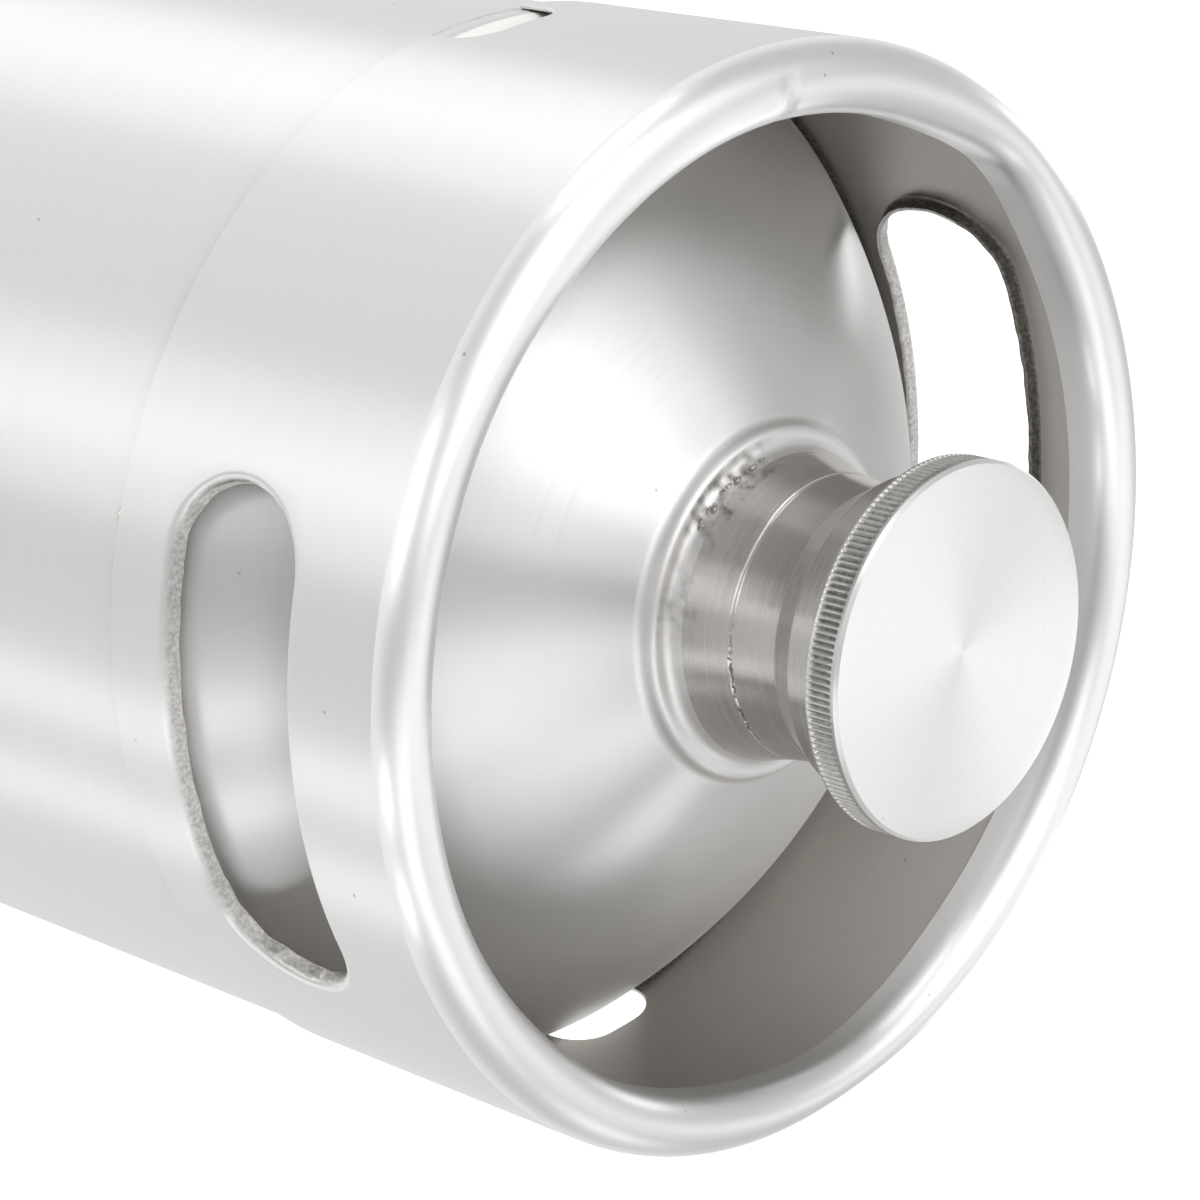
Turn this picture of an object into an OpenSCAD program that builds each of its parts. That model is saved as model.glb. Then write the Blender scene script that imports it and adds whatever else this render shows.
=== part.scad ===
// Stainless steel mini keg: a vessel drawn in two halves, with a rolled top collar that has
// two hand holes, a rolled foot ring, and a welded neck closed by a knurled screw cap.
// It stands on its foot ring, +Z up, with the origin on the floor at its axis.

/* [Rings] */
// Outside diameter of the top collar and the foot ring
ring_d = 165; // [150:1:180]
// Height of the top collar's rim above the floor
rim_h = 300; // [250:1:400]
// Thickness of the sheet in both rings
ring_sheet = 0.8; // [0.6:0.1:1.2]
// Outer radius of a ring's rolled edge
roll_r = 4.6; // [3.5:0.1:5.5]
// Straight leg that ends a rolled edge
roll_leg = 4.2; // [2:0.1:6]
// Height of the top collar, from its lower edge to its rim
collar_h = 57.6; // [52:0.1:66]
// Height of the foot ring, from the floor to its upper edge
foot_h = 46.1; // [44:0.1:60]
// Straight vessel wall that each ring laps over
ring_lap = 1.6; // [1:0.1:5]
// Width of the flat on the foot's roll that the keg stands on
foot_land = 2.4; // [1:0.1:4]

/* [Hand holes] */
// Clear width of a hand hole, measured round the wall
hole_w = 78.5; // [66:0.5:80]
// Clear height of a hand hole
hole_h = 24.4; // [20:0.2:27]
// Drop from the rim's top to a hand hole's centre
hole_drop = 33.9; // [30:0.1:34.5]
// Depth of the lip turned in around a hand hole
lip_depth = 3; // [1.6:0.1:4]

/* [Drain notches] */
// Width of a drain notch
notch_w = 19.3; // [16:0.1:28]
// Height of a drain notch
notch_h = 10.7; // [8:0.1:11]
// Radius of a drain notch's inner corners
notch_corner_r = 6.5; // [2:0.1:7.5]

/* [Vessel] */
// Thickness of the vessel's sheet
body_sheet = 0.8; // [0.6:0.1:1.2]
// Play between the vessel's wall and the rings that slide over it
ring_play = 0.05; // [0.03:0.01:0.2]
// Radius of the knuckles between the wall and the two domes
knuckle_r = 8; // [6:0.5:10]
// Radius of the arc that sweeps the top dome
crown_r = 144; // [138:1:170]
// Distance of that arc's centre beyond the axis, which makes the dome a little conical
crown_shift = 34; // [28:1:38]
// Radius of the spherical bottom dome
base_crown_r = 120; // [116:1:150]
// Height of the girth weld above the floor
girth_h = 140; // [110:1:180]

/* [Neck] */
// Height of the mouth above the edge of the pressed pad
neck_h = 28.8; // [26:0.1:34]
// Height of the neck's weld above the edge of the pressed pad
stub_h = 11.9; // [9:0.1:14]
// Rise of the pressed pad around the neck
pad_rise = 2; // [1:0.1:3]
// Width of the pressed pad's sloping edge
pad_run = 1.7; // [1:0.1:3]
// Fillet between the pad and the neck
pad_fillet = 1.8; // [1:0.1:2.5]
// Radius of the curve that draws the neck in to its waist
waist_curve_r = 50; // [40:1:80]
// Wall between the bore and the waist
waist_wall = 1.3; // [1:0.1:2]
// Height of the cone that opens out to the mouth
flare_h = 4.7; // [3:0.1:6]
// Height of the straight band below the mouth
mouth_band_h = 4.5; // [3:0.1:6]
// Outside diameter of the mouth
mouth_d = 46.6; // [45:0.1:52]

/* [Screw cap] */
// Diameter of the cap's knurled head
cap_d = 54.6; // [52:0.1:60]
// Height of the cap's head
cap_head_h = 5.9; // [4:0.1:8]
// Number of ridges in the knurl
knurl_count = 170; // [120:1:180]
// Depth of the knurl
knurl_depth = 0.45; // [0.3:0.05:0.6]
// Bevel on the head's edges
cap_bevel = 0.6; // [0.4:0.05:0.9]
// Length of the threaded plug below the head
plug_l = 13.8; // [12:0.1:15]
// Diameter over the plug's thread
thread_d = 37.6; // [34:0.1:38]
// Pitch of the thread
thread_pitch = 3; // [2.6:0.1:3.4]
// Depth of the thread
thread_depth = 1.1; // [0.9:0.05:1.2]
// Radial play between the plug's thread and the bore's
thread_play = 0.4; // [0.3:0.05:0.5]
// Radius of the hollow in the plug
hollow_r = 14; // [10:0.1:15]
// Thickness of the flat gasket under the head
gasket_t = 1.8; // [1:0.1:2.5]
// Set-back of the gasket's rim from the mouth's
gasket_inset = 0.5; // [0.2:0.1:1]

/* [Welds] */
// Width of the dressed weld beads
bead_w = 3; // [2:0.1:5]
// Height that a dressed bead stands proud
bead_proud = 0.25; // [0.1:0.05:0.5]
// Radius of the bead around the neck
bead_r = 0.9; // [0.6:0.1:1.5]
// Angle that a tack weld covers along a ring's edge
tack_angle = 3; // [2:0.5:6]

/* [Hidden] */
$fn = 128;
arc_steps = 14;
steel = [0.78, 0.78, 0.77];
ground_steel = [0.7, 0.69, 0.67];
silicone = [0.2, 0.2, 0.21];

// Directions around the keg: the hand holes face +X and -X, the drain notches +Y and -Y
seam_angle = -92.8;
tack_start = -21;
tack_count = 4;

// Rings
ring_r = ring_d / 2;
ring_in = ring_r - ring_sheet;
roll_c = ring_r - roll_r;
foot_roll_z = sqrt(roll_r * roll_r - foot_land * foot_land / 4);
collar_z = rim_h - collar_h;
hole_z = rim_h - hole_drop;

// Vessel: the wall ends where the knuckles start
body_r = ring_in - ring_play;
top_knuckle = [body_r - knuckle_r, collar_z + ring_lap];
base_knuckle = [body_r - knuckle_r, foot_h - ring_lap];
crown_reach = crown_r - knuckle_r;
crown = [-crown_shift,
         top_knuckle.y - sqrt(pow(crown_reach, 2) - pow(top_knuckle.x + crown_shift, 2))];
crown_tangent = atan2(top_knuckle.y - crown.y, top_knuckle.x - crown.x);
base_crown = [0, base_knuckle.y + sqrt(pow(base_crown_r - knuckle_r, 2) - pow(base_knuckle.x, 2))];
base_tangent = atan2(base_knuckle.y - base_crown.y, base_knuckle.x);

// Thread and bore
plug_crest_r = thread_d / 2;
plug_core_r = plug_crest_r - thread_depth;
bore_r = plug_crest_r + thread_play;
bore_crest_r = plug_core_r + thread_play;
ridge_root = 0.36 * thread_pitch;
ridge_crest = 0.14 * thread_pitch;
ridge_sink = 0.3;
ridge_step = 10;
runout_steps = 4;

// Neck: a pressed pad, then a curve that draws the neck in to its waist
waist_r = bore_r + waist_wall;
mouth_r = mouth_d / 2;
waist_h = neck_h - mouth_band_h - flare_h;
waist_centre_r = waist_r + waist_curve_r;
fillet_below = waist_h - pad_rise - pad_fillet;
fillet_r = waist_centre_r - sqrt(pow(waist_curve_r - pad_fillet, 2) - pow(fillet_below, 2));
pad_r = fillet_r + pad_run;
pad_z = crown.y + sqrt(pow(crown_r, 2) - pow(pad_r + crown_shift, 2));
pad_fillet_c = [fillet_r, pad_z + pad_rise + pad_fillet];
waist_c = [waist_centre_r, pad_z + waist_h];
fillet_tangent = 360 + atan2(pad_fillet_c.y - waist_c.y, pad_fillet_c.x - waist_c.x);
stub_angle = 180 + asin((waist_h - stub_h) / waist_curve_r);
mouth_z = pad_z + neck_h;
bore_lead = 0.6;
bore_relief_h = 2;

// Cap: its head rests on the gasket, which rests on the mouth
cap_r = cap_d / 2;
cap_z = mouth_z + gasket_t;
plug_z = cap_z - plug_l;
plug_bevel = 0.8;
relief_h = 1.6;
thread_z = plug_z + plug_bevel + ridge_root;
thread_turns = (mouth_z - relief_h - thread_z) / thread_pitch;
bore_thread_z = thread_z - thread_pitch / 2;
bore_turns = (mouth_z - bore_lead - ridge_root - bore_thread_z) / thread_pitch;
crown_wall = 2.2;
knurl_sink = 0.05;

// Points on an arc, both ends included
function arc(c, r, a0, a1, n = arc_steps) =
    [for (i = [0:n]) c + r * [cos(a0 + (a1 - a0) * i / n), sin(a0 + (a1 - a0) * i / n)]];
function reversed(p) = [for (i = [len(p) - 1:-1:0]) p[i]];

// Where the dome meets the pad, on a surface set in from the outer one by t
pad_slope = atan2(pad_rise, pad_run);
function crown_slope(r) = asin((r + crown_shift) / crown_r);
pad_mean = (pad_slope + crown_slope(pad_r)) / 2;
pad_half = (pad_slope - crown_slope(pad_r)) / 2;
function pad_edge_r(t) = pad_r - t * sin(pad_mean) / cos(pad_half);
function crown_end(t) = acos((pad_edge_r(t) + crown_shift) / (crown_r - t));

// The neck's outside below its weld, and above it up to the waist
function stub_line(t) = arc(waist_c, waist_curve_r + t, fillet_tangent, stub_angle, 10);
waist_line = arc(waist_c, waist_curve_r, stub_angle, 180, 8);

// Outline of the upper half, from the girth up over the dome to the neck's weld
function upper_line(t) = concat(
    [[body_r - t, girth_h]],
    arc(top_knuckle, knuckle_r - t, 0, crown_tangent, 6),
    arc(crown, crown_r - t, crown_tangent, crown_end(t), 24),
    arc(pad_fillet_c, pad_fillet + t, 270, fillet_tangent, 6),
    stub_line(t));

// Outline of the lower half, from the girth down over the base to the axis
function lower_line(t) = concat(
    [[body_r - t, girth_h]],
    arc(base_knuckle, knuckle_r - t, 0, base_tangent, 6),
    arc(base_crown, base_crown_r - t, base_tangent, -90, 20));

// Half section of a ring's wall with its edge rolled in; z = 0 is the wall's free edge
module ring_section(h, roll_z) {
    translate([ring_in, 0]) square([ring_sheet, roll_z]);
    intersection() {
        translate([roll_c, roll_z]) difference() {
            circle(r = roll_r);
            circle(r = roll_r - ring_sheet);
        }
        translate([roll_c - roll_r - 1, roll_z]) square([2 * roll_r + 2, h - roll_z]);
    }
    translate([roll_c - roll_r, roll_z - roll_leg]) square([ring_sheet, roll_leg]);
}

// Slot with round ends that was punched in the flat strip, bent round with it and facing +X
module bent_slot(w, h) {
    reach = (w - h) / ring_d * 180 / PI;
    slot_in = ring_r - 2 * lip_depth;
    slot_t = 2 * lip_depth + 1;
    rotate([0, 0, -reach]) rotate_extrude(angle = 2 * reach)
        translate([slot_in, -h / 2]) square([slot_t, h]);
    for (s = [-1, 1])
        rotate([0, 90, s * reach]) translate([0, 0, slot_in]) cylinder(d = h, h = slot_t);
}

// Two such slots, one facing each way
module hand_hole_slots(w, h) {
    for (a = [0, 180]) translate([0, 0, hole_z]) rotate([0, 0, a]) bent_slot(w, h);
}

// Sheet turned in around the hand holes, before the holes are cut through it
module hand_hole_lips() {
    intersection() {
        hand_hole_slots(hole_w + 2 * ring_sheet, hole_h + 2 * ring_sheet);
        difference() {
            translate([0, 0, collar_z]) cylinder(r = ring_in + ring_sheet / 2, h = collar_h);
            translate([0, 0, collar_z - 1]) cylinder(r = ring_r - lip_depth, h = collar_h + 2);
        }
    }
}

// Drain notches cut up from a ring's free edge at z = 0
module notch_cuts() {
    for (a = [90, 270]) rotate([0, 0, a]) rotate([90, 0, 90]) linear_extrude(ring_r + 1)
        difference() {
            translate([-notch_w / 2, -1]) square([notch_w, 1 + notch_h]);
            for (s = [0, 1]) mirror([s, 0]) translate([notch_w / 2, notch_h]) difference() {
                translate([-notch_corner_r, -notch_corner_r]) square(notch_corner_r + 1);
                translate([-notch_corner_r, -notch_corner_r]) circle(r = notch_corner_r);
            }
        }
}

module upper_shell() {
    color(steel) rotate_extrude() polygon(concat(upper_line(0), reversed(upper_line(body_sheet))));
}

module lower_shell() {
    color(steel) rotate_extrude() polygon(concat(lower_line(0), reversed(lower_line(body_sheet))));
}

// Dressed bead around the body where its halves meet
module girth_weld() {
    color(ground_steel) rotate_extrude() polygon([
        [body_r, girth_h - bead_w / 2],
        [body_r + bead_proud, girth_h - bead_w / 4],
        [body_r + bead_proud, girth_h + bead_w / 4],
        [body_r, girth_h + bead_w / 2]]);
}

// Turned neck piece: waist, cone, mouth band and threaded bore
module spout() {
    stub_end = waist_curve_r + body_sheet;
    outline = concat(
        waist_line,
        [[mouth_r, waist_c.y + flare_h],
         [mouth_r, mouth_z],
         [bore_r + bore_lead, mouth_z],
         [bore_r, mouth_z - bore_lead],
         [bore_r, pad_z + stub_h + bore_relief_h],
         waist_c + stub_end * [cos(stub_angle), sin(stub_angle)]]);
    color(ground_steel) {
        rotate_extrude() polygon(outline);
        thread_ridge(bore_r, bore_crest_r, bore_thread_z, bore_turns);
    }
}

// Uneven bead between the drawn stub and the turned neck piece
module spout_weld() {
    bead_c = waist_curve_r + bead_r - bead_proud;
    color(ground_steel) rotate_extrude() difference() {
        translate(waist_c + bead_c * [cos(stub_angle), sin(stub_angle)]) circle(r = bead_r);
        polygon(concat([[0, pad_fillet_c.y]], stub_line(0), waist_line, [[0, waist_c.y]]));
    }
}

module top_collar() {
    color(steel) difference() {
        union() {
            translate([0, 0, collar_z]) rotate_extrude() ring_section(collar_h, collar_h - roll_r);
            hand_hole_lips();
        }
        hand_hole_slots(hole_w, hole_h);
        translate([0, 0, collar_z]) notch_cuts();
    }
}

// The foot ring is a collar turned over, cut flat where it stands
module foot_ring() {
    color(steel) difference() {
        translate([0, 0, foot_h]) mirror([0, 0, 1]) difference() {
            rotate_extrude() ring_section(foot_h - foot_roll_z + roll_r, foot_h - foot_roll_z);
            notch_cuts();
        }
        translate([0, 0, -roll_r]) cylinder(r = ring_r + 1, h = roll_r);
    }
}

// Bead inside a ring, down the butt joint where its strip was closed
module strip_bead(z0, z1) {
    color(ground_steel) rotate([0, 0, seam_angle]) intersection() {
        difference() {
            translate([0, 0, z0]) cylinder(r = ring_in, h = z1 - z0);
            translate([0, 0, z0 - 1]) cylinder(r = ring_in - bead_proud, h = z1 - z0 + 2);
        }
        translate([0, -bead_w / 2, z0 - 1]) cube([ring_r, bead_w, z1 - z0 + 2]);
    }
}

module collar_seam_weld() {
    strip_bead(collar_z + notch_h, rim_h - roll_r);
}

module foot_seam_weld() {
    strip_bead(foot_roll_z, foot_h - notch_h);
}

// Tack welds in the step between the vessel's wall and a ring's edge at height z
module edge_tacks(z, up) {
    for (i = [0:tack_count - 1])
        rotate([0, 0, tack_start + i * 360 / tack_count - tack_angle / 2])
            translate([0, 0, z]) mirror([0, 0, up]) rotate_extrude(angle = tack_angle)
                polygon([[body_r, 0], [ring_r, 0], [body_r, -bead_w / 2]]);
}

module collar_tacks() {
    color(ground_steel) edge_tacks(collar_z, 0);
}

module foot_tacks() {
    color(ground_steel) edge_tacks(foot_h, 1);
}

// Right-hand thread ridge from its root's radius to its crest's, with faded ends
module thread_ridge(root_r, crest_r, z0, turns) {
    out = sign(crest_r - root_r);
    n = round(turns * 360 / ridge_step);
    function fade(i) = min(1, i / runout_steps, (n - i) / runout_steps);
    function crest(i) = root_r - out * ridge_sink / 2 +
                        (crest_r - root_r + out * ridge_sink / 2) * fade(i);
    function ring(i) = let(a = i * ridge_step, z = z0 + i * ridge_step / 360 * thread_pitch,
                           sunk = root_r - out * ridge_sink)
        [for (q = [[sunk, -ridge_root], [crest(i), -ridge_crest],
                   [crest(i), ridge_crest], [sunk, ridge_root]])
            [q.x * cos(a), q.x * sin(a), z + q.y]];
    points = [for (i = [0:n]) each ring(i)];
    side = [for (i = [0:n - 1], k = [0:3])
                let(p = 4 * i + k, q = 4 * i + (k + 1) % 4) each [[p, p + 4, q + 4], [p, q + 4, q]]];
    ends = [[0, 1, 2], [0, 2, 3], [4 * n + 2, 4 * n + 1, 4 * n], [4 * n + 3, 4 * n + 2, 4 * n]];
    faces = concat(side, ends);
    polyhedron(points, out < 0 ? faces : [for (f = faces) reversed(f)]);
}

// Straight knurl: one pointed ridge for each step around the rim
module knurl_shape() {
    polygon([for (i = [0:2 * knurl_count - 1])
        let(a = 180 * i / knurl_count, r = cap_r - (i % 2) * (knurl_depth + knurl_sink))
            r * [cos(a), sin(a)]]);
}

// Turned cap: knurled head and hollow threaded plug in one piece
module cap() {
    head_r = cap_r - knurl_depth;
    neck_r = plug_core_r - ridge_sink;
    outline = [
        [0, cap_z + cap_head_h],
        [head_r - cap_bevel / 2, cap_z + cap_head_h],
        [head_r, cap_z + cap_head_h - cap_bevel],
        [head_r, cap_z + cap_bevel],
        [head_r - cap_bevel, cap_z],
        [neck_r, cap_z],
        [neck_r, mouth_z - relief_h / 2],
        [plug_core_r, mouth_z - relief_h],
        [plug_core_r, plug_z + plug_bevel],
        [plug_core_r - plug_bevel, plug_z],
        [hollow_r, plug_z],
        [hollow_r, cap_z + cap_head_h - crown_wall - hollow_r / 4],
        [hollow_r * 3 / 4, cap_z + cap_head_h - crown_wall],
        [0, cap_z + cap_head_h - crown_wall]];
    color(steel) {
        rotate_extrude() polygon(outline);
        translate([0, 0, cap_z + cap_bevel]) linear_extrude(cap_head_h - 2 * cap_bevel) difference() {
            knurl_shape();
            circle(r = head_r - 1);
        }
        thread_ridge(plug_core_r, plug_crest_r, thread_z, thread_turns);
    }
}

// Flat silicone ring, caught under the head by the plug's thread
module gasket() {
    color(silicone) translate([0, 0, mouth_z]) difference() {
        cylinder(r = mouth_r - gasket_inset, h = gasket_t);
        translate([0, 0, -1]) cylinder(r = bore_crest_r, h = gasket_t + 2);
    }
}

upper_shell();
lower_shell();
girth_weld();
spout();
spout_weld();
top_collar();
collar_seam_weld();
collar_tacks();
foot_ring();
foot_seam_weld();
foot_tacks();
cap();
gasket();
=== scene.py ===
"""Stainless steel mini keg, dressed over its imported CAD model: vessel, collar, neck and cap."""
from math import atan2, cos, degrees, exp, hypot, pi, radians, sin, tau

import bmesh
import bpy
from mathutils import Matrix, Vector, noise
from mathutils.geometry import interpolate_bezier


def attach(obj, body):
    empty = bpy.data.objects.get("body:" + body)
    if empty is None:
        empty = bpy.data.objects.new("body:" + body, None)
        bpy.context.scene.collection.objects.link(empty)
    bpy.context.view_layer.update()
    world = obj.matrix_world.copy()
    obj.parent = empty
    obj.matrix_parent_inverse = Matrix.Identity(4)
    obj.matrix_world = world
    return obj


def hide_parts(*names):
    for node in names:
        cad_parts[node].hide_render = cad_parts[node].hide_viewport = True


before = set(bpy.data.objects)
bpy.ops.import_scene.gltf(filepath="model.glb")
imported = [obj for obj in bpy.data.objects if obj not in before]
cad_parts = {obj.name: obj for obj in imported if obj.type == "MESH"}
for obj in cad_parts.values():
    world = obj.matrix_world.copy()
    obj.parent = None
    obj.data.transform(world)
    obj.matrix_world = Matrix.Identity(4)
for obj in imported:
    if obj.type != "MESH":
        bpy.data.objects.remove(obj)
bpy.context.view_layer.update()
mm = 0.001

# Camera: a long lens above the rim, rolled on its side, so that the keg's axis runs across
# the picture and its collar and cap fill the right half.
camera = bpy.data.objects.new("camera", bpy.data.cameras.new("camera"))
camera_place = Vector((0.38295, -0.21053, 0.64503))
camera_right = Vector((-0.68379, 0.08754, 0.7244))
camera_up = Vector((-0.32646, -0.92453, -0.1964))
camera_back = Vector((0.65256, -0.3708, 0.6608))
camera.matrix_world = (Matrix.Translation(camera_place)
                       @ Matrix((camera_right, camera_up, camera_back)).transposed().to_4x4())
camera.data.lens = 115.43
camera.data.sensor_width = 36
bpy.context.scene.collection.objects.link(camera)
bpy.context.scene.camera = camera
bpy.context.scene.view_settings.view_transform = "Standard"


# Studio: a floor of plain white paper that the keg stands on, a soft grey room above it, and
# large soft lamps. The paper keeps the keg's shadow, and the camera and the steel see it as
# white: it glows a little for the steel, and a little more for the camera.
class Value:
    """A node's output. Sums on it add Math nodes to its material."""

    def __init__(self, finish, socket):
        self.finish, self.socket = finish, socket

    def math(self, operation, *others):
        return self.finish.node("ShaderNodeMath", {"operation": operation},
                                dict(enumerate((self, *others))))

    def __add__(self, other):
        return self.math("ADD", other)

    def __sub__(self, other):
        return self.math("SUBTRACT", other)

    def __mul__(self, other):
        return self.math("MULTIPLY", other)

    def __rsub__(self, other):
        return self * -1 + other

    __radd__, __rmul__ = __add__, __mul__

    def ramp(self, low, high):
        """0 below low, 1 above high, and a straight rise between them."""
        return self.finish.node("ShaderNodeMapRange", sockets={
            "Value": self, "From Min": low, "From Max": high})


class Finish:
    """A material, or the world, whose nodes are added one by one."""

    def __init__(self, name, block=None):
        self.block = block or bpy.data.materials.new(name)
        self.block.use_nodes = True
        self.tree = self.block.node_tree
        self.tree.nodes.clear()

    def node(self, kind, settings=None, sockets=None, out=0):
        made = self.tree.nodes.new(kind)
        for name, value in (settings or {}).items():
            setattr(made, name, value)
        for name, value in (sockets or {}).items():
            if isinstance(value, Value):
                self.tree.links.new(value.socket, made.inputs[name])
            else:
                made.inputs[name].default_value = value
        return Value(self, made.outputs[out]) if made.outputs else None

    def blend(self, factor, first, second):
        """One colour where factor is 0, another where it is 1, by a Mix node's colour sockets."""
        return self.node("ShaderNodeMix", {"data_type": "RGBA"},
                         {"Factor": factor, 6: first, 7: second}, out=2)


floor_mesh = bmesh.new()
bmesh.ops.create_grid(floor_mesh, x_segments=1, y_segments=1, size=4)
floor_data = bpy.data.meshes.new("studio_floor")
floor_mesh.to_mesh(floor_data)
floor_mesh.free()
floor = bpy.data.objects.new("studio_floor", floor_data)
bpy.context.scene.collection.objects.link(floor)

glow_for_steel, more_for_camera = 0.15, 0.3
paper = Finish("pale_floor")
camera_ray, glossy_ray, transmission_ray = (
    paper.node("ShaderNodeLightPath", out=f"Is {ray} Ray")
    for ray in ("Camera", "Glossy", "Transmission"))
lit_paper = paper.node("ShaderNodeBsdfDiffuse", sockets={"Color": (0.8, 0.8, 0.8, 1)})
glow = paper.node("ShaderNodeEmission", sockets={
    "Color": (1, 1, 1, 1), "Strength": camera_ray * more_for_camera + glow_for_steel})
white_paper = paper.node("ShaderNodeAddShader", sockets={0: lit_paper, 1: glow})
paper.node("ShaderNodeOutputMaterial", sockets={"Surface": paper.node(
    "ShaderNodeMixShader", sockets={
        0: camera_ray + glossy_ray + transmission_ray, 1: lit_paper, 2: white_paper})})
floor_data.materials.append(paper.block)

room = Finish("room", bpy.data.worlds.new("room"))
bpy.context.scene.world = room.block
room.node("ShaderNodeOutputWorld", sockets={"Surface": room.node(
    "ShaderNodeBackground", sockets={"Color": (1, 1, 1, 1), "Strength": 0.65})})

lamp_distance, lit_point = 1.6, Vector((0, 0, 0.27))  # a point inside the dome


def soft_lamp(azimuth, elevation, size, watts):
    """A soft box that faces the lit point from a direction given in degrees."""
    lamp = bpy.data.lights.new("soft_box", "AREA")
    lamp.shape, lamp.size, lamp.size_y = "RECTANGLE", *size
    lamp.energy = watts
    box = bpy.data.objects.new("soft_box", lamp)
    away = Vector((cos(radians(azimuth)) * cos(radians(elevation)),
                   sin(radians(azimuth)) * cos(radians(elevation)), sin(radians(elevation))))
    box.location = lit_point + away * lamp_distance
    box.rotation_euler = away.to_track_quat("Z", "Y").to_euler()
    bpy.context.scene.collection.objects.link(box)


lamp_rows = (  # elevation, lamp's width and height, then azimuth and watts of each lamp
    (3, (0.28, 0.45), ((-30, 1.67), (-100, 1.41), (20, 1.28), (-110, 1.14), (40, 1.13),
                       (180, 1.07), (140, 1.04), (-20, 1.0), (-40, 0.99), (-90, 0.95))),
    (24, (0.35, 0.5), ((105, 0.59), (150, 0.54))),
    (46, (0.45, 0.5), ((-90, 1.54), (45, 1.05), (-112.5, 1.03), (-135, 0.83), (-67.5, 0.81),
                       (90, 0.74), (67.5, 0.74), (22.5, 0.66), (-157.5, 0.52), (157.5, 0.48),
                       (135, 0.38))),
    (68, (0.6, 0.6), ((-135, 1.77), (-45, 1.66), (-90, 1.48), (45, 1.05), (135, 0.97))))
for elevation, size, lamps in lamp_rows:
    for azimuth, watts in lamps:
        soft_lamp(azimuth, elevation, size, watts)


# Vessel, upper half: 0.8 mm stainless sheet, drawn with its dome, pressed up around the neck
# and pulled into a short stub. It is brushed round and round on a lathe, and the pad around
# the neck is polished by hand.
class Outline:
    """A half outline in millimetres from the axis and the floor, which is then turned."""

    def __init__(self, r, z):
        self.mesh = bmesh.new()
        self.tip = self.mesh.verts.new((r * mm, 0, z * mm))

    def line(self, r, z, steps=1):
        """Goes straight on to (r, z), in equal steps."""
        start, end = self.tip.co.copy(), Vector((r * mm, 0, z * mm))
        for step in range(steps):
            self.tip = bmesh.ops.extrude_vert_indiv(self.mesh, verts=[self.tip])["verts"][0]
            self.tip.co = start.lerp(end, (step + 1) / steps)
        return self

    def arc(self, r, z, turn, steps):
        """Goes on round the centre (r, z) by an angle, counted from the axis's side upwards."""
        spun = bmesh.ops.spin(self.mesh, geom=[self.tip], cent=(r * mm, 0, z * mm),
                              axis=(0, -1, 0), angle=radians(turn), steps=steps)
        self.tip = next(v for v in spun["geom_last"] if isinstance(v, bmesh.types.BMVert))
        return self

    def ease(self, lean, reach, r, z, steps):
        """A smooth S on to (r, z), which leaves at the slope lean and arrives level."""
        start, end = self.tip.co.copy(), Vector((r * mm, 0, z * mm))
        leave = Vector((-cos(radians(lean)), 0, sin(radians(lean)))) * reach * mm
        arrive = Vector((reach * mm, 0, 0))
        for spot in interpolate_bezier(start, start + leave, end + arrive, end, steps + 1)[1:]:
            self.line(spot.x / mm, spot.z / mm)
        return self

    def turn(self, steps, shares=12):
        """Turns a sector of the steps first, and then lays its copies round the axis."""
        outline = self.mesh.verts[:] + self.mesh.edges[:]
        bmesh.ops.spin(self.mesh, geom=outline, cent=(0, 0, 0), axis=(0, 0, 1),
                       angle=tau / shares, steps=steps // shares)
        sector = self.mesh.verts[:] + self.mesh.edges[:] + self.mesh.faces[:]
        bmesh.ops.spin(self.mesh, geom=sector, cent=(0, 0, 0), axis=(0, 0, 1),
                       angle=tau * (1 - 1 / shares), steps=shares - 1, use_duplicate=True)
        bmesh.ops.remove_doubles(self.mesh, verts=self.mesh.verts[:], dist=1e-6)
        bmesh.ops.recalc_face_normals(self.mesh, faces=self.mesh.faces[:])
        return self.mesh


def piece(name, mesh, body, node, finishes, wall=0, edge=0, crease=25):
    """Makes a mesh an object on its body, for a CAD node. wall is a sheet's thickness and edge
    the width of its broken edges, in mm. A wall's inside gets the last finish. Edges that turn
    by more than crease degrees stay sharp."""
    data = bpy.data.meshes.new(name)
    for face in mesh.faces:
        face.smooth = True
    mesh.to_mesh(data)
    mesh.free()
    data.set_sharp_from_angle(angle=radians(crease))
    made = bpy.data.objects.new(name, data)
    bpy.context.scene.collection.objects.link(made)
    for finish in finishes:
        data.materials.append(finish)
    if wall:
        thick = made.modifiers.new("sheet", "SOLIDIFY")
        thick.thickness, thick.offset, thick.use_even_offset = wall * mm, -1, True
        thick.material_offset = len(finishes) - 1
    if edge:
        broken = made.modifiers.new("broken_edges", "BEVEL")
        broken.width, broken.segments, broken.limit_method = edge * mm, 2, "ANGLE"
        broken.angle_limit, broken.harden_normals = radians(crease), True
    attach(made, body)
    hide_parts(node)


filed_pale = (0.52, 0.50, 0.47, 1), (0.84, 0.82, 0.79, 1)
# painted shade for the gap between a ring and the vessel, also used for the darker hole lips
gap_shade_lip_dark = (0.05, 0.045, 0.04, 1), (0.25, 0.23, 0.20, 1)
neck_scorch = (0.04, 0.035, 0.03, 1), (0.42, 0.39, 0.35, 1)
pad_scorch = (0.05, 0.045, 0.04, 1), (0.32, 0.30, 0.27, 1)
pit_dark = (0.12, 0.11, 0.10, 1)


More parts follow.
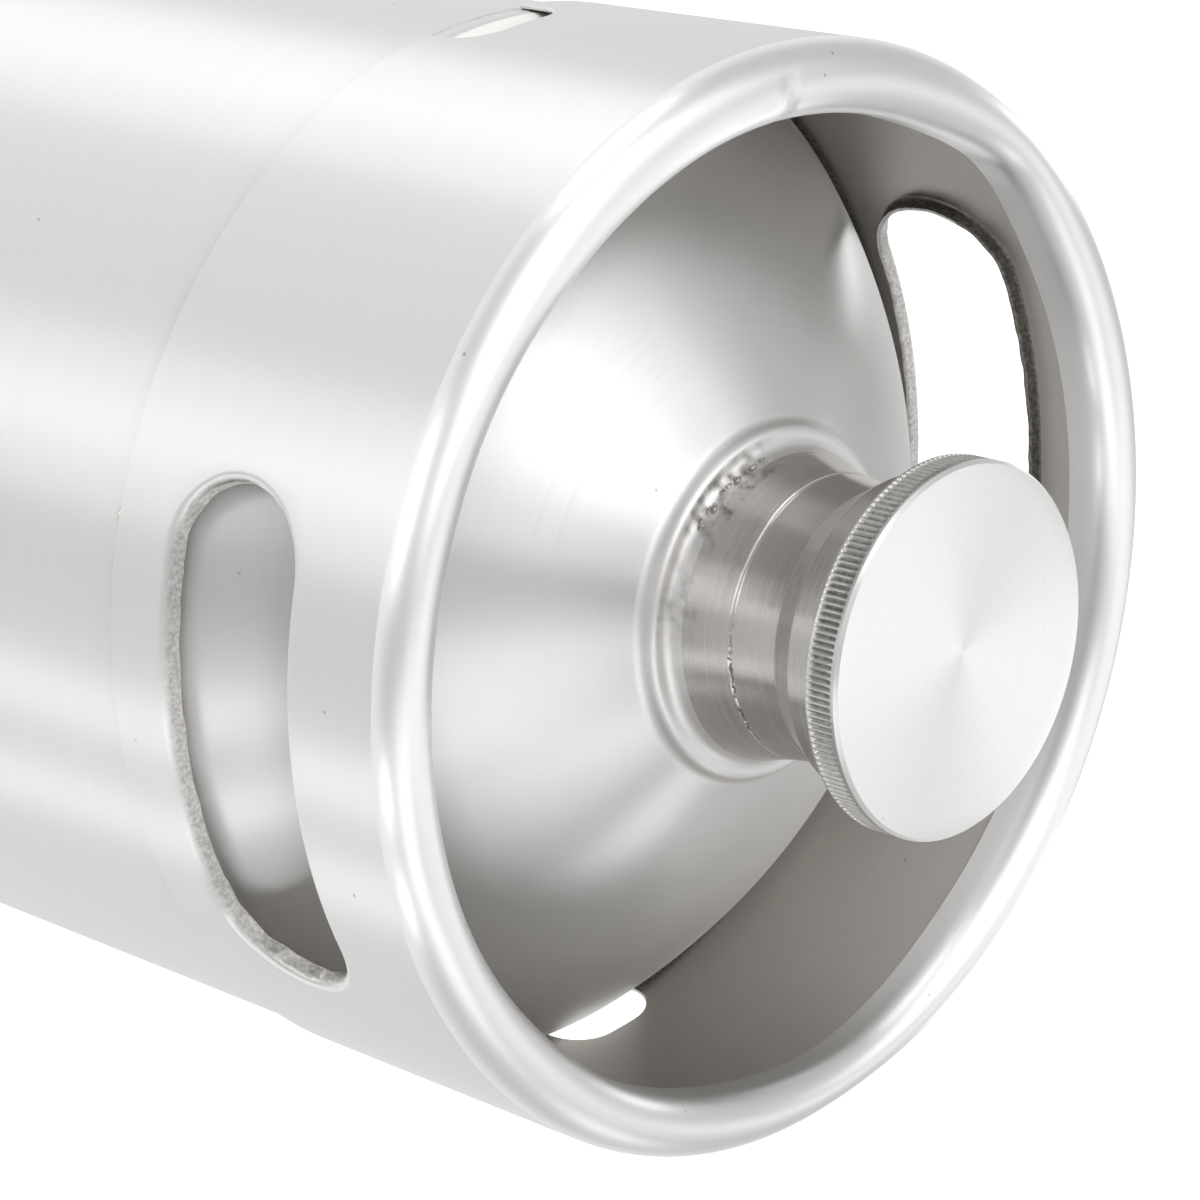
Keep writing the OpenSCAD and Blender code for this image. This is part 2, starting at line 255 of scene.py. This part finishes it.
def steel(name, colour, roughness, stretch, line_gap, patchy=0.5, relief=0.25, worked="dull",
          worked_tones=filed_pale):
    """Stainless steel, brushed or turned round the axis.

    stretch draws its highlights out across the brushing, line_gap is the distance of the brush
    lines in mm, patchy is how uneven its sheen is and relief how deep the lines look. worked
    names the attribute that says where it is coloured otherwise: where it was filed, ground or
    scorched, where knurl grooves and hole lips are darker, and where shade is painted, in the
    gap between a ring and the vessel and under the collar's edge; worked_tones are the two
    colours that it has there."""
    finish = Finish(name)
    place = finish.node("ShaderNodeTexCoord", out="Object")
    x, y, z = (finish.node("ShaderNodeSeparateXYZ", sockets={0: place}, out=axis)
               for axis in "XYZ")
    along = z - (x * x + y * y).math("SQRT")  # grows across the brush lines on wall and dome
    groove = finish.node("ShaderNodeCombineXYZ", sockets={
        "X": x * 20, "Y": y * 20, "Z": along * (1 / (line_gap * mm))})
    # grain is single brush lines, streak bands of them, and cloud patches 35 mm across
    grain = finish.node("ShaderNodeTexNoise", sockets={
        "Vector": groove, "Scale": 1.0, "Detail": 3.0, "Roughness": 0.6})
    streak = finish.node("ShaderNodeTexNoise", sockets={
        "Vector": groove, "Scale": 0.13, "Detail": 2.0, "Roughness": 0.5})
    cloud = finish.node("ShaderNodeTexNoise", sockets={
        "Vector": place, "Scale": 28.0, "Detail": 3.0, "Roughness": 0.55})
    worn = (streak * 0.6 + cloud * 0.4 - 0.5) * patchy
    tone = finish.blend(worn + 0.5, (*(c * 0.93 for c in colour), 1),
                        (*(min(1, c * 1.05) for c in colour), 1))
    # filed is the scratches of file and grinder, under 1 mm, and pit a small pit every 11 mm or so
    filed = finish.node("ShaderNodeTexNoise", sockets={
        "Vector": place, "Scale": 1500.0, "Detail": 4.0})
    dull = finish.node("ShaderNodeAttribute", {"attribute_name": worked}, out="Fac")
    tone = finish.blend(dull * 0.8, tone, finish.blend(filed.ramp(0.36, 0.66), *worked_tones))
    pit = 1 - finish.node("ShaderNodeTexVoronoi", sockets={
        "Vector": place, "Scale": 90.0}).ramp(0.014, 0.03)
    tone = finish.blend(pit * 0.5, tone, pit_dark)
    bump = finish.node("ShaderNodeBump", sockets={
        "Height": grain * 0.7 + streak * 0.3 + filed * dull, "Strength": relief,
        "Distance": 0.00004})
    skin = finish.node("ShaderNodeBsdfPrincipled", sockets={
        "Base Color": tone, "Metallic": 1.0,
        "Roughness": worn * 0.12 + grain * 0.06 + dull * 0.12 + (roughness - 0.03),
        "Anisotropic": stretch, "Anisotropic Rotation": 0.25, "Normal": bump})
    finish.node("ShaderNodeOutputMaterial", sockets={"Surface": skin})
    return finish.block


def share(value):
    """A value held between 0 and 1."""
    return min(1, max(0, value))


def swell(away, reach, power=2):
    """1 where away is 0, falling off smoothly to 0 beyond reach on both sides."""
    return exp(-abs(away / reach) ** power)


sheet_outside = steel("sheet_outside", (0.785, 0.785, 0.78), 0.40, 1.0, 0.22)
sheet_dome = steel("sheet_dome", (0.70, 0.695, 0.685), 0.35, 0.9, 0.3, patchy=0.8)
sheet_inside = steel("sheet_inside", (0.60, 0.575, 0.545), 0.34, 0.9, 0.2, patchy=0.8,
                     worked="dark", worked_tones=gap_shade_lip_dark)
turned = steel("turned_neck", (0.63, 0.61, 0.59), 0.26, 0.9, 0.16, patchy=0.9,
               worked_tones=neck_scorch)
hand_polished = steel("hand_polished", (0.72, 0.71, 0.70), 0.40, 0.7, 0.3, patchy=0.8,
                      worked_tones=pad_scorch)
# the shoulder is rough and unbrushed, and painted lighter than the wall: a painted light line
# along the dome's edge
unbrushed_painted_light = steel("unbrushed_painted_light", (0.86, 0.85, 0.83), 0.60, 0.0, 0.3)

wall_r, girth_z, sheet_t = 81.65, 140, 0.8
shoulder, crown = (73.65, 244), (-34, 160.889)  # centres (r, z) that the sheet bends round
fillet, waist = (24.963, 295.287), (70.5, 311.09)
upper = Outline(wall_r, girth_z).line(wall_r, 241.5, 39)
for z in (241.9, 242.15, 242.5, 244):  # close rows, for the line at the collar's edge
    upper.line(wall_r, z)
upper.arc(*shoulder, 37.67, 10).arc(*crown, 26.87, 60)
upper.ease(25.46, 2.0, 24.963, 293.487, 12)  # the pad around the neck
upper.arc(*fillet, -70.865, 8).arc(*waist, -10.276, 16)
upper_mesh = upper.turn(288)

zone_radii = 81.5, 78.2, 28.2, 22.9  # between wall, shoulder, dome, pad and stub
upper_finishes = [sheet_outside, unbrushed_painted_light, sheet_dome, hand_polished, turned, sheet_inside]
for face in upper_mesh.faces:
    middle = face.calc_center_median()
    r = hypot(middle.x, middle.y) / mm
    face.material_index = sum(r <= zone_r for zone_r in zone_radii)
dull = upper_mesh.verts.layers.float.new("dull")
for vert in upper_mesh.verts:
    r, z = hypot(vert.co.x, vert.co.y) / mm, vert.co.z / mm
    turn = degrees(atan2(vert.co.y, vert.co.x))
    if r > 81.5 and 241.8 < z < 242.3:  # ground line under the collar's edge, partly painted shade
        vert[dull] = 1
    elif 22.4 < r < 25.5 and z > 293:  # scorched fillet at the stub's foot
        burnt = swell(turn + 64, 23, 4) + 0.5 * swell(turn + 20, 12)
        vert[dull] = share(burnt * (0.35 + 1.6 * noise.noise(vert.co / (1.6 * mm))))
piece("vessel_upper_half", upper_mesh, "keg", "upper_shell", upper_finishes,
      wall=sheet_t)

# Vessel, lower half: the same sheet, drawn with a plain domed bottom and brushed in the same
# way. The foot ring hides the bottom from the side and keeps it clear of the floor.
lower = Outline(wall_r, girth_z).line(wall_r, 44.5, 36)
lower.arc(73.65, 44.5, -48.88, 10).arc(0, 128.88, -41.12, 40)
piece("vessel_lower_half", lower.turn(288), "keg", "lower_shell",
      [sheet_outside, sheet_inside], wall=sheet_t)


# Girth weld: the butt weld of stainless steel that joins the vessel's two halves. It was ground
# low, but it is still a little rippled.
def ripple(mesh, size, depth):
    """Pushes a weld's points in and out along their normals, by noise of a size in mm."""
    mesh.normal_update()
    moves = [(v, v.normal * noise.noise(v.co / (size * mm)) * depth * mm) for v in mesh.verts]
    for vert, move in moves:
        vert.co += move
    return mesh


weld_metal = steel("weld_metal", (0.62, 0.59, 0.55), 0.38, 0.2, 0.5, patchy=1.4, relief=0.4)
girth = Outline(81.55, 138.4).line(81.85, 139.1, 2).line(81.92, girth_z, 2)
girth.line(81.85, 140.9, 2).line(81.55, 141.6, 2).line(81.55, 138.4)
piece("girth_bead", ripple(girth.turn(720), 1.6, 0.06), "keg", "girth_weld",
      [weld_metal], crease=60)

# Neck: turned from stainless bar, with a waist, a cone that opens to the mouth band, and the
# bore's thread. Its lower end is welded to the vessel's drawn stub.
thread_pitch = 3
half_root, half_crest = 1.08, 0.42  # half the width of the ridge at its root and at its crest


def thread(mesh, root, crest, start, turns):
    """Lays a right-hand ridge on a bore or plug, which fades out at both ends."""
    steps_a_turn, fading_steps = 36, 4
    steps = round(steps_a_turn * turns)
    sink = 0.2 if crest > root else -0.2  # how far the ridge's root goes into the wall
    section = [(root - sink, -half_root), (crest, -half_crest),
               (crest, half_crest), (root - sink, half_root)]
    ridge = bmesh.new()
    verts = [ridge.verts.new((r * mm, 0, (start + z) * mm)) for r, z in section]
    edges = [ridge.edges.new(pair) for pair in zip(verts, verts[1:])]
    for step in range(steps + 1):
        fade = min(1, step / fading_steps, (steps - step) / fading_steps)
        for vert in verts[1:3]:
            reach = (root + (crest - root) * fade) * mm / hypot(vert.co.x, vert.co.y)
            vert.co.x, vert.co.y = vert.co.x * reach, vert.co.y * reach
        if step == steps:
            break
        grown = bmesh.ops.extrude_edge_only(ridge, edges=edges)["geom"]
        fresh = {g for g in grown if isinstance(g, bmesh.types.BMVert)}
        verts = [next(e.other_vert(v) for e in v.link_edges if e.other_vert(v) in fresh)
                 for v in verts]
        edges = [ridge.edges.get(pair) for pair in zip(verts, verts[1:])]
        bmesh.ops.rotate(ridge, verts=verts, cent=(0, 0, 0),
                         matrix=Matrix.Rotation(tau / steps_a_turn, 3, "Z"))
        bmesh.ops.translate(ridge, verts=verts, vec=(0, 0, thread_pitch / steps_a_turn * mm))
    wound = bpy.data.meshes.new("ridge")
    ridge.to_mesh(wound)
    ridge.free()
    mesh.from_mesh(wound)
    bpy.data.meshes.remove(wound)
    bmesh.ops.recalc_face_normals(mesh, faces=mesh.faces[:])


mouth_z, band_r, bore_r = 320.287, 23.3, 19.2
neck = Outline(21.097, 303.39).arc(*waist, -8.859, 14).line(band_r, 315.79, 3)
neck.line(band_r, mouth_z, 2).line(19.8, mouth_z).line(bore_r, 319.687)
neck.line(bore_r, 305.387, 2).line(20.306, 303.266).line(21.097, 303.39)
neck_mesh = neck.turn(216)
thread(neck_mesh, bore_r, 18.1, 308.667, 3.31)
piece("turned_neck", neck_mesh, "keg", "spout", [turned], edge=0.18)

# Neck weld: the bead between stub and neck. It was ground flush, but for a stretch that is
# still rough, and crumbs of weld metal stuck in the fillet at the stub's foot.
bead_mesh = Outline(21.174, 303.289).arc(20.454, 303.289, 360, 14).turn(720)
dull = bead_mesh.verts.layers.float.new("dull")
for vert in bead_mesh.verts:
    r, turn = hypot(vert.co.x, vert.co.y) / mm, degrees(atan2(vert.co.y, vert.co.x))
    rough = swell(turn - 13, 30, 4)
    vert[dull] = rough
    vert.co.z += noise.noise(Vector((radians(turn) * 6, 3, 0))) * 0.35 * rough * mm
    ground_off = 0.9 * max(0, r - 21.1) * (1 - rough)
    lift = noise.noise(vert.co / (0.5 * mm)) * 0.3 * rough - ground_off
    vert.co += Vector((vert.co.x, vert.co.y, 0)).normalized() * lift * mm
for crumb in range(11):
    turn = -47 - 3.4 * crumb + 6 * noise.noise(Vector((crumb * 1.7, 0.3, 5.5)))
    size = 0.34 + 0.5 * abs(noise.noise(Vector((crumb, 9.1, 0.3))))
    z = 294.7 + 0.9 * noise.noise(Vector((0.4, crumb, 7.7)))
    made = bmesh.ops.create_icosphere(bead_mesh, subdivisions=3, radius=size * mm)["verts"]
    for vert in made:
        vert.co *= 1 + 0.5 * noise.noise(vert.co / (0.35 * mm) + Vector((crumb, 0, 0)))
        vert[dull] = 0.8
    bmesh.ops.scale(bead_mesh, verts=made, vec=(0.7, 1.5, 0.8))
    bmesh.ops.translate(bead_mesh, verts=made, vec=(23.35 * mm, 0, z * mm))
    bmesh.ops.rotate(bead_mesh, verts=made, cent=(0, 0, 0),
                     matrix=Matrix.Rotation(radians(turn), 3, "Z"))
piece("neck_bead", bead_mesh, "keg", "spout_weld", [turned], crease=70)

# Top collar: a strip of 0.8 mm sheet. The hand holes with their turned-in lips and the drain
# notches are pressed while it lies flat, then it is bent round, welded and its rim rolled in.
ring_r, roll_r, roll_leg = 82.5, 4.6, 4.2
seam_turn = -92.8  # where the strip's ends meet, in degrees round the ring
hole_z, hole_half_length, hole_half_height = 23.7, 40.75, 13.6
lip_r, lip_leg = 1.4, 0.8
notch_half_width, notch_height, notch_corner = 9.65, 10.7, 6.5
collar_edge_z, collar_height = 242.4, 53
hole_window, notch_window = (44.3, 16.6), (12.6, 13.4)  # half sizes, cut before each outline
notch_turns = 90, 270
rolled_edge = steel("rolled_edge", (0.775, 0.775, 0.77), 0.34, 0.75, 0.25)


def grow(strip, rim, place):
    """Extends a sheet from its rim to where place() puts each point; returns the new rim."""
    grown = bmesh.ops.extrude_edge_only(strip, edges=rim)["geom"]
    fresh = {g for g in grown if isinstance(g, bmesh.types.BMVert)}
    for vert in fresh:
        vert.co = place(vert.co)
    return [e for e in {e for v in fresh for e in v.link_edges} if set(e.verts) <= fresh]


def open_up(strip, middle, half_window, outline):
    """Cuts a window in the flat strip and grows the sheet back in to an outline."""
    (x, z), (wide, high) = middle, half_window
    cut = [f for f in strip.faces if abs(f.calc_center_median().x - x) < wide
           and abs(f.calc_center_median().z - z) < high]
    around = {e for f in cut for e in f.edges}
    bmesh.ops.delete(strip, geom=cut, context="FACES")
    rim = [e for e in around
           if e.is_valid and e.is_boundary and any(v.co.z > 0.01 for v in e.verts)]
    for part in (1 / 3, 1 / 2, 1):  # three even rows, as parts of the way that is left
        rim = grow(strip, rim, lambda spot: spot.lerp(outline(spot), part))
    return rim


def hand_hole(x):
    """Outline with round ends, as a function that brings a point of the flat strip to it.
    narrower makes it smaller all round, and deeper moves it in from the strip's face."""
    left, right = (x + side * (hole_half_length - hole_half_height) for side in (-1, 1))

    def place(spot, narrower=0.0, deeper=0.0):
        core = Vector((min(max(spot.x, left), right), 0, hole_z))
        out = Vector((spot.x, 0, spot.z)) - core
        return core + out.normalized() * (hole_half_height - narrower) + Vector((0, deeper, 0))
    return place


def drain_notch(x):
    """Outline of a notch that is open at the strip's free edge, as a function of the same kind."""
    left, right = (x + side * (notch_half_width - notch_corner) for side in (-1, 1))

    def place(spot):
        core = Vector((min(max(spot.x, left), right), 0, min(spot.z, notch_height - notch_corner)))
        out = Vector((spot.x, 0, spot.z)) - core
        return core + out.normalized() * notch_corner if out.length > 1e-6 else core
    return place


def round_from(x, turn):
    """Degrees round the ring from an angle to a point of the flat strip, from -180 to 180."""
    return (degrees(x / ring_r) - turn + 180) % 360 - 180


def uneven(x):
    """How much wider than its 4.6 mm the rim was rolled, which differs round the ring."""
    return (0.85 * swell(round_from(x, -87), 40, 4) + 0.45 * swell(round_from(x, 38), 17)
            - 0.75 * swell(round_from(x, -136), 10) - 1.2 * swell(round_from(x, 94), 16))


def rolled_strip(height, hole_turns=()):
    """The flat strip with its holes, notches and rolled edge: x along, y into it, z up."""
    strip = bmesh.new()
    bmesh.ops.create_grid(strip, x_segments=360, y_segments=round(height / 1.45), size=0.5)
    dull, dark = (strip.verts.layers.float.new(mark) for mark in ("dull", "dark"))
    for vert in strip.verts:
        vert.co = (vert.co.x + 0.625) * tau * ring_r, 0, (vert.co.y + 0.5) * height
    top = [e for e in strip.edges
           if e.is_boundary and all(v.co.z > height - 0.01 for v in e.verts)]
    for turn in hole_turns:
        x = radians(turn) * ring_r
        outline = hand_hole(x)
        rim = open_up(strip, (x, hole_z), hole_window, outline)
        for step in range(1, 9):  # six rows round the lip's bend and two down its leg
            angle = pi / 2 * min(step, 6) / 6
            depth = lip_r * (1 - cos(angle)) + lip_leg * max(0, step - 6)
            rim = grow(strip, rim, lambda spot: outline(
                spot, lip_r * sin(angle) + 0.14 * noise.noise(spot / 2.2) * (step > 3),
                depth + 0.3 * noise.noise(spot / 3) * (step > 6)))
            for vert in {v for e in rim for v in e.verts}:
                vert[dull] = share((step - 2) / 3)
                vert[dark] = share(step / 2)
    for turn in notch_turns:
        x = radians(turn) * ring_r
        open_up(strip, (x, 0), notch_window, drain_notch(x))
    for step in range(1, 21):
        angle = pi * step / 20
        top = grow(strip, top, lambda spot: Vector((
            spot.x, (roll_r + uneven(spot.x)) * (1 - cos(angle)),
            height + roll_r * sin(angle))))
    for step in range(3):
        top = grow(strip, top, lambda spot: spot - Vector((0, 0, roll_leg / 3)))
    for vert in strip.verts:  # the rim's weld was ground to a shallow groove across the roll
        over = max(0, vert.co.y - roll_r * 0.7) * (vert.co.z > height - 1)
        if over:
            near = max(0, 1 - abs(round_from(vert.co.x, seam_turn)) / 0.9)
            vert[dull] = 0.5 * min(1, near * over / 2)
            vert.co.z -= 0.35 * near * min(1, over / 2)
    for face in strip.faces:  # 0 is the brushed wall, 1 the roll, and 2 the wall's inside
        middle = face.calc_center_median()
        face.material_index = int(middle.z > height or middle.y > 4)
        upper_lip = hole_turns and 30 < middle.z < height - 3
        if upper_lip and all(vert[dull] > 0.3 for vert in face.verts):
            face.material_index = 2 * (abs(middle.x - pi * ring_r) < 50)
    for vert in strip.verts:  # painted shade on the wall's inside, in the gap between ring and dome
        vert[dark] = max(vert[dark], share((7.4 - vert.co.z) / 1.6) * (vert.co.y < 0.5))
    return strip


def bend_round(strip, edge_z, upwards=1):
    """Bends a flat strip into a ring whose free edge lies at a height, and closes its seam."""
    for vert in strip.verts:
        turn, r = vert.co.x / ring_r, ring_r - vert.co.y
        vert.co = Vector((r * cos(turn), r * sin(turn), edge_z + upwards * vert.co.z)) * mm
    bmesh.ops.remove_doubles(strip, verts=strip.verts[:], dist=1e-6)
    bmesh.ops.recalc_face_normals(strip, faces=strip.faces[:])
    return strip


collar_strip = rolled_strip(collar_height, hole_turns=(180, 360))
for vert in collar_strip.verts:  # the wall leans in a little below one side of the rim
    vert.co.y += 1.2 * swell(round_from(vert.co.x, 95), 15) * share((vert.co.z - 42) / 12) ** 2
piece("rolled_collar", bend_round(collar_strip, collar_edge_z), "keg", "top_collar",
      [sheet_outside, rolled_edge, sheet_inside], wall=sheet_t, edge=0.35,
      crease=40)


# Collar seam: the weld that closes the butt joint of the collar's strip, above one drain
# notch. It was ground flush outside and left as a low rippled bead inside.
def strip_weld(z0, z1):
    """Bead down the inside of a ring at its seam, from one height to another."""
    width, foot_r, rise = 3.2, 81.75, 0.32
    weld = bmesh.new()
    bmesh.ops.create_grid(weld, x_segments=10, y_segments=160, size=0.5)
    for vert in weld.verts:
        turn = radians(seam_turn) + vert.co.x * width / ring_r
        r = foot_r - rise * cos(vert.co.x * pi)
        z = z0 + (vert.co.y + 0.5) * (z1 - z0)
        vert.co = Vector((r * cos(turn), r * sin(turn), z)) * mm
    bmesh.ops.recalc_face_normals(weld, faces=weld.faces[:])
    return ripple(weld, 1.1, 0.1)


piece("collar_seam", strip_weld(collar_edge_z + notch_height, collar_edge_z + collar_height),
      "keg", "collar_seam_weld", [weld_metal], crease=70)


# Tack welds: small melted beads of steel that fix each ring to the vessel, in the step where
# the ring laps over the vessel's wall. They were left rough.
def tacks(edge_z, upwards):
    """Four rough beads round a ring's free edge."""
    beads = bmesh.new()
    for turn in (-21, 69, 159, 249):
        made = bmesh.ops.create_icosphere(beads, subdivisions=4, radius=mm)["verts"]
        bmesh.ops.scale(beads, verts=made, vec=(0.42, 1.5, 0.55))
        bmesh.ops.translate(beads, verts=made, vec=(82 * mm, 0, (edge_z - 0.3 * upwards) * mm))
        bmesh.ops.rotate(beads, verts=made, cent=(0, 0, 0),
                         matrix=Matrix.Rotation(radians(turn), 3, "Z"))
    return ripple(beads, 0.7, 0.22)


piece("collar_tack_beads", tacks(collar_edge_z, 1), "keg", "collar_tacks",
      [weld_metal], crease=70)

# Foot ring: the same strip of 0.8 mm sheet, rolled, turned over and without hand holes, with
# its own seam and tacks. Its roll is pressed flat where the keg stands on it.
foot_edge_z, foot_height = 46.1, 41.66
foot = bend_round(rolled_strip(foot_height), foot_edge_z, -1)
for vert in foot.verts:
    vert.co.z = max(vert.co.z, 0)
piece("rolled_foot", foot, "keg", "foot_ring",
      [sheet_outside, rolled_edge, sheet_inside], wall=sheet_t, edge=0.15, crease=40)
piece("foot_seam", strip_weld(5, foot_edge_z - notch_height), "keg", "foot_seam_weld",
      [weld_metal], crease=70)
piece("foot_tack_beads", tacks(foot_edge_z, -1), "keg", "foot_tacks",
      [weld_metal], crease=70)

# Screw cap: turned in one piece with its hollow plug. Its rim was knurled straight with a wheel,
# which left grooves with round ends, and then chamfered. The face was faced off in one cut.
groove_dark = (0.08, 0.075, 0.07, 1), (0.40, 0.38, 0.35, 1)
cap_steel = steel("cap_face", (0.76, 0.76, 0.75), 0.28, 0.6, 0.12, patchy=0.25, relief=0.06,
                  worked_tones=groove_dark)
cap_top, cap_under, head_r, plug_r = 327.987, 322.087, 27.3, 17.7
pole_r = 0.3  # both faces stop short of the axis and are closed there at the end
hollow_r, hollow_z = 14, 325.787
cap = Outline(pole_r, cap_top).line(26.6, cap_top, 10).line(26.85, 327.96).line(27.2, 327.53)
for z in (327.42, 327.1, 326.9, 326.75, 326.6, 326.4, 326, 324.5, 323.4, 323.15, 322.95,
          322.75, 322.5):  # close rows where the grooves end
    cap.line(head_r, z)
cap.line(27.2, 322.35).line(26.8, 322.12).line(26.6, cap_under)
cap.line(17.4, cap_under, 3).line(17.4, 319.487, 2).line(plug_r, 318.687)
cap.line(plug_r, 309.087, 2).line(16.9, 308.287).line(hollow_r, 308.287)
cap.line(hollow_r, 322.287, 2).line(10.5, hollow_z).line(pole_r, hollow_z, 2)
grooves, columns = 170, 6  # grooves of the knurl, and columns of points for each
cap_mesh = cap.turn(grooves * columns, 17)
dull = cap_mesh.verts.layers.float.new("dull")
for vert in cap_mesh.verts:
    r, z = hypot(vert.co.x, vert.co.y), vert.co.z / mm
    if r > 27.25 * mm:
        column = round(atan2(vert.co.y, vert.co.x) / tau * grooves * columns)
        aside = (column + 3) % columns - 3  # columns away from the groove's middle
        above, below = max(0, z - 326.3) / 0.6, max(0, 323.2 - z) / 0.45
        bite = max(0, 1 - (aside / 2.2) ** 2 - above ** 2 - below ** 2)
        inwards = 1 - 0.45 * bite * mm / r
        vert.co.x, vert.co.y = vert.co.x * inwards, vert.co.y * inwards
        vert[dull] = bite
bmesh.ops.holes_fill(cap_mesh, edges=[e for e in cap_mesh.edges if e.is_boundary], sides=0)
thread(cap_mesh, plug_r, 18.8, 310.167, 2.84)
piece("screw_cap", cap_mesh, "screw_cap", "cap", [cap_steel], crease=32)

# Gasket: a flat ring of dark silicone that lies loose on the mouth, around the plug. The cap's
# head presses it down.
silicone = Finish("seal_rubber")
place = silicone.node("ShaderNodeTexCoord", out="Object")
bloom = silicone.node("ShaderNodeTexNoise", sockets={
    "Vector": place, "Scale": 400.0, "Detail": 3.0})
silicone.node("ShaderNodeOutputMaterial", sockets={"Surface": silicone.node(
    "ShaderNodeBsdfPrincipled", sockets={
        "Base Color": silicone.blend(bloom, (0.11, 0.11, 0.115, 1), (0.15, 0.15, 0.155, 1)),
        "Roughness": bloom * 0.2 + 0.5,
        "Normal": silicone.node("ShaderNodeBump", sockets={
            "Height": bloom, "Strength": 0.2, "Distance": 0.0001})})})
gasket_in, gasket_out = 18.1, 22.8
gasket = Outline(gasket_in, 320.6).line(gasket_in, 321.787).arc(18.4, 321.787, -90, 4)
gasket.line(22.5, cap_under, 2).arc(22.5, 321.787, -90, 4).line(gasket_out, 320.6)
gasket.arc(22.5, 320.587, -90, 4).line(18.4, mouth_z, 2).line(gasket_in, 320.6)
piece("flat_gasket", gasket.turn(144), "seal", "gasket", [silicone.block])

bpy.context.view_layer.update()
